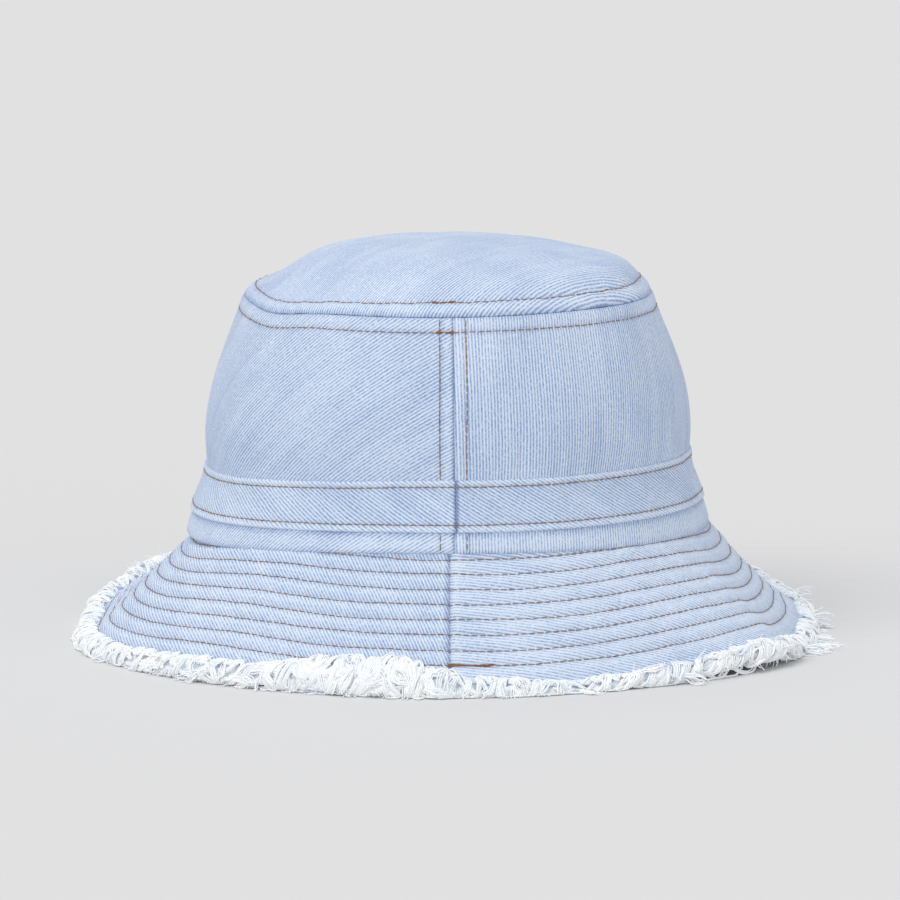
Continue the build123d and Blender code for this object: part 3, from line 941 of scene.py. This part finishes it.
class MakeBrim(bpy.types.Operator):
    """The brim's upper and under plies and the stiffener between them"""

    bl_idname = "hat.brim"
    bl_label = "Brim"

    def execute(self, context):
        for side in ("left", "right"):
            piece, size, area = brim_ply(f"upper_brim_cloth_{side}", side, 0, DENIM, "washed_denim", "denim",
                                         f"upper_brim_{side}", (270, 84))
            under_depth = DENIM + INTERLINING + 0.3 * MM
            piece, size, area = brim_ply(f"under_brim_cloth_{side}", side, under_depth, DENIM, "washed_denim",
                                         "denim", f"under_brim_{side}", (180, 60))
        reach = (1.5 * MM, BRIM - 1.5 * MM)
        piece, size, area = brim_ply("brim_stiffener", "left", DENIM + 0.15 * MM, INTERLINING,
                                     "interlining_cotton", "interlining", "brim_interlining", (300, 40),
                                     reach, whole=True)
        return {"FINISHED"}


# ---- the frayed edge ----

class Edge:
    """The brim's cut edge at one azimuth: where it is, and which ways it points."""

    def __init__(self, azimuth):
        end = brim_point(azimuth, BRIM)
        back = brim_point(azimuth, BRIM - 4 * MM)
        ahead = brim_point(azimuth + 0.02, BRIM)
        self.out = (end - back).normalized()
        self.round = (ahead - end).normalized()
        self.up = self.round.cross(self.out).normalized()
        if self.up.z < 0:
            self.up = -self.up
        self.place = end - self.up * UNDER_FACE / 2


@lru_cache(maxsize=20000)
def edge_near(step):
    return Edge(step / 1500)


def edge_at(azimuth):
    return edge_near(round(azimuth * 1500))


def yarn_floor(radius):
    return radius * 1.35


def strand(draw, start, heading, length, droop, curl, steps, radius):
    """One loose yarn that leaves start, sinks and curls. It lies on the table where it meets it."""
    step = length / steps
    place, way = start.copy(), heading.normalized()
    place.z = max(place.z, yarn_floor(radius))
    points = [place.copy()]
    side = way.cross(Vector((0, 0, 1)))
    spin = draw.uniform(0, math.tau)
    for _ in range(steps):
        bend = side * math.cos(spin) + Vector((0, 0, 1)) * math.sin(spin)
        way = (way + bend * curl * step / MM - Vector((0, 0, 1)) * droop * step / MM).normalized()
        spin += draw.uniform(0.2, 0.9)
        place = place + way * step
        if place.z < yarn_floor(radius):
            place.z = yarn_floor(radius)
            way.z = abs(way.z) * 0.2
        points.append(place.copy())
    return points


def yarns(name, lines, radius, node=None):
    """Turns lists of points into one piece of thin yarns that taper at their free ends."""
    tapered = []
    for points, thickness in lines:
        last = len(points) - 1
        tapered.append((points, [radius * thickness * (1 - 0.45 * (i / last) ** 2) for i in range(last + 1)]))
    return tubes(name, tapered, "loose_cotton", "fray", *([node] if node else []), sides=4)


CUSHION_STEPS = 1500


@lru_cache(maxsize=20000)
def cushion(step):
    """The fray's matted core at one azimuth: centre, half widths out and up, and which ways those are."""
    azimuth = step / CUSHION_STEPS
    edge = edge_at(azimuth)
    combed, left, right = around(azimuth, -14, 15), around(azimuth, -98, 30), around(azimuth, 44, 20)
    bare = around(azimuth, 22, 7)
    corner, front = around(azimuth, 84, 22), front_share(azimuth)
    lump = 0.5 * ripple(azimuth, 0, 14 * MM, 50) + 0.3 * ripple(azimuth, 0, 6 * MM, 51)
    wide = 3.3 + 2.6 * combed + 0.8 * left - 0.9 * right - 1.3 * bare + 0.6 * corner + lump
    tall = 2.2 + 0.8 * combed + 1.0 * left - 0.5 * right - 0.7 * bare
    tall = tall + 0.5 * corner + 0.4 * front + 0.6 * lump
    shift = 1.1 - 4.4 * combed + 1.9 * left + 0.2 * right + 1.6 * corner + 1.3 * front
    centre = edge.place + (edge.out * shift + edge.up * (0.5 + 1.0 * combed)) * MM
    return centre, wide * MM, tall * MM, edge.out, edge.up


def fray_point(azimuth, angle, swell=0.0):
    """A point round the core. angle turns from down the slope, over the top, and back in over the brim."""
    centre, wide, tall, out, up = cushion(round(azimuth * CUSHION_STEPS))
    place = centre + out * math.cos(angle) * (wide + swell) + up * math.sin(angle) * (tall + swell)
    place.z = max(place.z, 0.36 * MM + 0.12 * max(0, swell))
    return place


def mm_round(length):
    """A length along the edge as a turn of azimuth."""
    return length * MM / 0.130


class MakeFray(bpy.types.Operator):
    """The frayed edge: a matted core, combed locks round it, tufts, loops and strays"""

    bl_idname = "hat.fray"
    bl_label = "Frayed edge"

    def execute(self, context):
        look = context.scene.hat_look
        self.core()
        self.locks(look)
        self.tufts(look)
        self.scallops(look)
        self.loops(look)
        self.strays(look)
        return {"FINISHED"}

    def core(self):
        def place(x, y):
            azimuth, angle = x * math.tau - HALF_TURN, y * math.tau
            rough = 0.9 * MM * ripple(azimuth, angle * 3 * MM, 2.4 * MM, 51)
            return fray_point(azimuth, angle, rough - 0.8 * MM)

        def flat(x, y):
            return (x * 0.8, y * 0.018)

        bm, _, _ = cloth((700, 16), place, flat, close=True)
        keep("fray_core", bm, get_material("matted_cotton"), "fray", "under_brim_fray")

    def locks(self, look):
        """Locks of yarn that lie round the core at a slant, or run along it."""
        draw = random.Random(13)
        centres = [math.tau * (i + draw.uniform(-0.5, 0.5)) / 820 for i in range(820)]
        centres += [math.radians(draw.gauss(-14, 13)) for _ in range(70)]
        centres += [math.radians(draw.gauss(8, 8)) for _ in range(22)]
        pieces = [[] for _ in range(7)]
        for centre in centres:
            rope = 0.9 * around(centre, -108, 32) + 0.7 * around(centre, 44, 20)
            if draw.random() < 0.6 * around(centre, 22, 6):
                continue
            strands = 8 + round(8 * around(centre, -14, 15))
            along = draw.random() < 0.22
            start = draw.uniform(-0.9, 2.2) if draw.random() < 0.85 else draw.uniform(-3.0, -1.0)
            sweep = draw.uniform(-0.7, 0.7) if along else draw.uniform(1.1, 3.0)
            span = draw.uniform(7, 15) if along else draw.uniform(1.5, 7)
            travel = mm_round(span) * draw.choice((-1, 1, 1))
            swell, loft = draw.uniform(-0.5, 0.5), draw.uniform(0.2, 1.4)
            flick = draw.choice((0, 0, 0, 0.6, 1.5))
            bow, swirl = mm_round(draw.uniform(-3.0, 3.0)), draw.uniform(-0.35, 0.35)
            if draw.random() < rope:
                start, sweep = draw.uniform(-1.0, 0.9), draw.uniform(2.0, 3.2)
                travel = mm_round(draw.uniform(5, 8))
                bow, swirl, flick, loft = bow * 0.2, 0, 0, loft * 0.5
            for _ in range(strands):
                offset, turn = draw.gauss(0, mm_round(0.65)), draw.gauss(0, 0.10)
                layer = swell + draw.uniform(-0.3, 0.3)
                bend = draw.uniform(0.85, 1.15)
                points = []
                for k in range(9):
                    share = k / 8
                    arch = math.sin(math.pi * share)
                    azimuth = centre + offset + travel * share**bend + bow * arch * bend
                    angle = start + turn + sweep * share + swirl * math.sin(math.tau * share)
                    rise = layer + loft * arch + flick * share**4
                    points.append(fray_point(azimuth, angle, rise * MM))
                pieces[int(centre % math.tau / math.tau * 7) % 7].append((points, draw.uniform(0.85, 1.25)))
        for number, lines in enumerate(pieces, 1):
            yarns(f"fray_locks_{number}", lines, look.yarn_radius)

    def tufts(self, look):
        """Bundles of yarn that leave the cut edge, droop and curl."""
        draw = random.Random(7)
        bundles = 230
        halves = [[], []]
        for i in range(bundles):
            centre = math.tau * (i + draw.uniform(-0.45, 0.45)) / bundles
            bare = 0.9 * (around(centre, 49, 12) + around(centre, 22, 6)) + around(centre, -98, 36)
            if draw.random() < bare:
                continue
            curl, droop = draw.uniform(0.08, 0.32), draw.uniform(0.03, 0.18)
            lean, rise = draw.uniform(-1.1, 1.1), draw.uniform(-0.4, 0.35)
            length = draw.uniform(5.5, 9.5) * MM
            seed = draw.randrange(10**6)
            for k in range(9):
                azimuth = centre + draw.gauss(0, mm_round(0.8))
                edge = edge_at(azimuth)
                start = edge.place + edge.up * draw.uniform(-1.2, 1.1) * MM
                sideways = lean + draw.gauss(0, 0.08)
                heading = edge.out + edge.round * sideways + edge.up * (rise + draw.gauss(0, 0.1))
                size = length * draw.uniform(0.85, 1.1)
                shared = random.Random(seed + k // 5)
                points = strand(shared, start, heading, size, droop, curl, 8, look.yarn_radius)
                halves[i % 2].append((points, draw.uniform(0.85, 1.2)))
        for number, lines in enumerate(halves, 1):
            yarns(f"fray_tufts_{number}", lines, look.yarn_radius)

    def scallops(self, look):
        """Locks that rise in an arch over the upper brim and come back down to the core."""
        draw = random.Random(11)
        lines = []
        for i in range(300):
            centre = math.tau * (i + draw.uniform(-0.5, 0.5)) / 300
            big = around(centre, -6, 6) + around(centre, -22, 6) + 0.35 * around(centre, 11, 8)
            big += 0.3 * around(centre, -60, 20)
            if draw.random() > 0.35 + big:
                continue
            reach = draw.uniform(0.6, 1.8) + big * draw.uniform(0.5, 2.6)
            span = mm_round(draw.uniform(3.5, 8.5))
            lean = draw.uniform(-0.3, 0.3)
            for _ in range(9):
                spread, offset = draw.uniform(0.7, 1.1), draw.gauss(0, mm_round(0.4))
                layer = draw.uniform(0.1, 0.9)
                points = []
                for k in range(10):
                    share = k / 9
                    arch = math.sin(math.pi * share)
                    azimuth = centre + offset + span * (share - 0.5 + lean * arch) * spread
                    angle = 2.15 + 0.85 * arch
                    points.append(fray_point(azimuth, angle, (layer + reach * arch * spread * 0.8) * MM))
                lines.append((points, draw.uniform(0.85, 1.2)))
        yarns("fray_scallops", lines, look.yarn_radius, "upper_brim_fray")

    def loops(self, look):
        """Loops that hang under the lifted edge, and single thick ends that stick out of it."""
        draw = random.Random(19)
        lines = []
        for centre, sweep, hang in ((45, 7, 3.6), (49, 9, 4.4), (42, 6, 2.6), (53, 6, 3.2), (47, 5, 2.4)):
            for _ in range(4):
                spread = draw.uniform(0.85, 1.15)
                points = []
                for k in range(15):
                    share = k / 14
                    dip = math.sin(math.pi * share)
                    azimuth = math.radians(centre + sweep * (share - 0.5) * spread)
                    point = fray_point(azimuth, -0.8, 0) + outward(azimuth) * dip * 1.6 * MM * spread
                    point.z = max(yarn_floor(look.yarn_radius), point.z - dip * hang * MM * spread)
                    points.append(point)
                lines.append((points, draw.uniform(1.1, 1.5)))
        ends = ((39, 12, 12, 0.7, -0.05, 0.2), (21, 10, 10, 0.8, 0.0, 0.25), (74, 13, 16, 0.1, 0.1, 0.6),
                (80, 15, 14, -0.1, 0.0, 0.7), (86, 11, 12, -0.4, 0.25, 0.7), (99, 12, 12, -0.5, 0.5, 0.8),
                (112, 11, 12, -0.4, 0.6, 0.8), (-42, 9, 9, -0.6, 0.0, 0.5), (-128, 10, 10, 0.5, 0.4, 0.7),
                (150, 11, 10, 0.3, 0.2, 0.8), (-165, 10, 10, -0.3, 0.2, 0.8))
        for centre, length, count, lean, rise, spread in ends:
            for _ in range(count):
                azimuth = math.radians(centre) + draw.gauss(0, mm_round(spread))
                edge = edge_at(azimuth)
                heading = outward(azimuth) + edge.round * (lean + draw.gauss(0, 0.2) * spread)
                heading.z += rise - 0.1 + draw.gauss(0, 0.12) * spread
                start = cushion(round(azimuth * CUSHION_STEPS))[0] + edge.up * draw.uniform(-0.6, 0.6) * MM
                size = length * draw.uniform(0.75, 1.05) * MM
                points = strand(draw, start, heading, size, 0.05, 0.10, 9, look.yarn_radius)
                lines.append((points, draw.uniform(1.0, 1.3)))
        yarns("fray_loops", lines, look.yarn_radius)

    def strays(self, look):
        """Single yarns that leave the core every way."""
        draw = random.Random(17)
        lines = []
        for _ in range(360):
            azimuth = draw.uniform(0, math.tau)
            if draw.random() < around(azimuth, -92, 48):
                continue
            edge = edge_at(azimuth)
            angle = draw.uniform(-0.6, 2.6)
            heading = edge.out * math.cos(angle) + edge.up * math.sin(angle)
            heading = heading + edge.round * draw.uniform(-2.2, 2.2)
            start = fray_point(azimuth, angle, 0)
            length = draw.uniform(2.5, 7) * MM
            points = strand(draw, start, heading, length, 0.10, draw.uniform(0.1, 0.5), 8, look.yarn_radius)
            lines.append((points, draw.uniform(0.6, 1.0)))
        yarns("fray_strays", lines, look.yarn_radius)


# ---- inside the crown ----

def inner_strip(
    name, azimuths, heights, depth, thickness, material, slot, node, steps, wave=0.0, dent=0.0
):
    """A strip on the wall's inner face between two heights. dent is its hollow at the left, for the label."""
    start, end = azimuths

    def spot(x, y):
        return blend_range(start, end, x), blend_range(heights[0], heights[1], y)

    def place(x, y):
        azimuth, along = spot(x, y)
        loose = wave * ripple(azimuth, along, 20 * MM, 60)
        pressed = dent * around(azimuth, -90, 13)
        point = wall_point(azimuth, max(0, along)) - outward(azimuth) * (depth + loose - pressed)
        point.z += min(0, along)
        return point

    def flat(x, y):
        azimuth, along = spot(x, y)
        return ((azimuth - start) * (SEAM_OVAL.x + SEAM_OVAL.y) / 2, along)

    whole = end - start > math.tau - 0.001
    bm, size, area = cloth(steps, place, flat, close=whole)
    bmesh.ops.reverse_faces(bm, faces=bm.faces)
    piece = thicken(keep(name, bm, get_material(material), slot, node), thickness)
    return piece


class MakeLining(bpy.types.Operator):
    """Sweatband, seam tapes and the two blank labels"""

    bl_idname = "hat.lining"
    bl_label = "Sweatband, tapes and labels"

    def execute(self, context):
        inner_strip("sweatband_cloth", (-HALF_TURN, HALF_TURN), SWEATBAND_HEIGHTS, SWEATBAND_DEPTH, 0.6 * MM,
                    "sweatband_tape", "sweatband", "sweatband", (320, 20), 0.15 * MM,
                    SWEATBAND_DENT)

        def place(share, up):
            azimuth = share * math.tau - HALF_TURN
            return wall_point(azimuth, SWEATBAND_ROW) - outward(azimuth) * (2.75 * MM + up)

        stitch_piece("sweatband_row", [(place, 0, 1)], "sweatband_stitch", 400)
        half = 8 * MM / SEAM_OVAL.y
        top = wall_rise(0) - 8.5 * MM
        for name, seam in (("back", CROWN_SEAM_AT), ("front", HALF_TURN)):
            inner_strip(f"{name}_tape", (seam - half, seam + half), (10 * MM, top), 1.45 * MM, TAPE_THICKNESS,
                        "seam_tape", "tape", f"{name}_seam_tape", (14, 50))
        self.tip_tape()
        width = 9 * MM / SEAM_OVAL.y
        inner_strip("size_label_cloth", (-width, width), (9 * MM, 23 * MM), 3.2 * MM, LABEL_THICKNESS,
                    "label_satin", "label", "size_label", (20, 16))
        self.care_label()
        return {"FINISHED"}

    def tip_tape(self):
        """Tape inside the tip seam, half on the wall and half on the tip."""
        def place(x, y):
            azimuth = x * math.tau - HALF_TURN
            if y < 0.5:
                along = wall_rise(azimuth) - (1 - 2 * y) * 8 * MM
                return wall_point(azimuth, along) - outward(azimuth) * 2.0 * MM
            inset = (2 * y - 1) * 8 * MM / TIP_OVAL.x
            point = tip_point(azimuth, inset) - outward(azimuth) * 2.0 * MM * (1 - (2 * y - 1))
            point.z -= 2.0 * MM * (2 * y - 1)
            return point

        def flat(x, y):
            return (x * math.tau * TIP_OVAL.x, y * TAPE_WIDTH)

        bm, size, area = cloth((300, 12), place, flat, close=True)
        bmesh.ops.reverse_faces(bm, faces=bm.faces)
        piece = keep("tip_tape", bm, get_material("seam_tape"), "tape", "tip_seam_tape")
        thicken(piece, TAPE_THICKNESS)

    def care_label(self):
        """A soft label that hangs by its top edge and curves a little."""
        width, height = LABEL_HIGH.y - LABEL_LOW.y, LABEL_HIGH.z - LABEL_LOW.z

        def place(x, y):
            bow = 1.2 * MM * (1 - y) ** 2 + 0.4 * MM * math.sin(math.pi * x) * (1 - y)
            return Vector((LABEL_HIGH.x + bow, LABEL_HIGH.y - width * x, LABEL_LOW.z + height * y))

        def flat(x, y):
            return (x * width, y * height)

        bm, size, area = cloth((16, 20), place, flat)
        bmesh.ops.reverse_faces(bm, faces=bm.faces)
        satin = get_material("label_satin")
        piece = keep("care_label_cloth", bm, satin, "label", "care_label", body="care_label")
        thicken(piece, LABEL_THICKNESS)


# ---- camera, light and floor ----

CAMERA_DISTANCE = 2.6
CAMERA_RISE = math.radians(7.9)
CAMERA_AIM = Vector((0.0007, 0, 0.0666))
CAMERA_WIDTH = 0.318
SENSOR = 36


class MakeStage(bpy.types.Operator):
    """Floor, lights and camera"""

    bl_idname = "hat.stage"
    bl_label = "Stage"

    def execute(self, context):
        self.floor()
        self.lights(context)
        self.camera(context)
        return {"FINISHED"}

    def floor(self):
        bm = bmesh.new()
        bmesh.ops.create_grid(bm, x_segments=8, y_segments=8, size=12)
        mesh = bpy.data.meshes.new("floor")
        bm.to_mesh(mesh)
        bm.free()
        floor = bpy.data.objects.new("floor", mesh)
        pale = (0.72, 0.72, 0.725, 1)
        recipe = Recipe("pale_floor", Base_Color=pale, Roughness=0.95, Specular_IOR_Level=0.1)
        mesh.materials.append(recipe.material)
        bpy.context.scene.collection.objects.link(floor)

    def lights(self, context):
        world = bpy.data.worlds.new("soft_room")
        world.use_nodes = True
        background = world.node_tree.nodes["Background"]
        background.inputs["Color"].default_value = (1.0, 1.0, 1.0, 1)
        background.inputs["Strength"].default_value = 0.55
        context.scene.world = world
        for name, place, spread, power in (
            ("key", (-1.0, -1.1, 1.35), 34, 1.05),
            ("top", (-0.1, 0.25, 1.0), 60, 0.72),
            ("fill", (0.75, -1.0, 0.55), 60, 0.42),
        ):
            lamp = bpy.data.lights.new(name, "SUN")
            lamp.angle = math.radians(spread)
            lamp.energy = power
            light = bpy.data.objects.new(name, lamp)
            light.location = place
            light.rotation_euler = (-Vector(place)).to_track_quat("-Z", "Y").to_euler()
            context.scene.collection.objects.link(light)

    def camera(self, context):
        context.scene.view_settings.view_transform = "Standard"
        lens = bpy.data.cameras.new("camera")
        lens.sensor_width = SENSOR
        lens.lens = SENSOR * CAMERA_DISTANCE / CAMERA_WIDTH
        lens.clip_end = 50
        camera = bpy.data.objects.new("camera", lens)
        back = Vector((0, -math.cos(CAMERA_RISE), math.sin(CAMERA_RISE)))
        camera.location = CAMERA_AIM + back * CAMERA_DISTANCE
        camera.rotation_euler = (-back).to_track_quat("-Z", "Y").to_euler()
        context.scene.collection.objects.link(camera)
        context.scene.camera = camera


OPERATORS = (
    MakeStage, MakeCrownStitches, MakeBrimStitches, MakeFray, MakeCrown, MakeBand, MakeBrim, MakeLining
)


class HatPanel(bpy.types.Panel):
    """Lists the hat's sizes, colours and pieces"""

    bl_idname = "VIEW3D_PT_frayed_hat"
    bl_label = "Frayed denim hat"
    bl_space_type = "VIEW_3D"
    bl_region_type = "UI"
    bl_category = "Hat"

    def draw(self, context):
        for name in HatLook.__annotations__:
            self.layout.prop(context.scene.hat_look, name)
        for operator in OPERATORS:
            self.layout.operator(operator.bl_idname)


CLASSES = (HatLook, *OPERATORS, HatPanel)


def register():
    for item in CLASSES:
        bpy.utils.register_class(item)
    bpy.types.Scene.hat_look = PointerProperty(type=HatLook)


def unregister():
    del bpy.types.Scene.hat_look
    for item in reversed(CLASSES):
        bpy.utils.unregister_class(item)


def main():
    register()
    for operator in OPERATORS:
        group, name = operator.bl_idname.split(".")
        getattr(getattr(bpy.ops, group), name)()


if __name__ == "__main__":
    main()
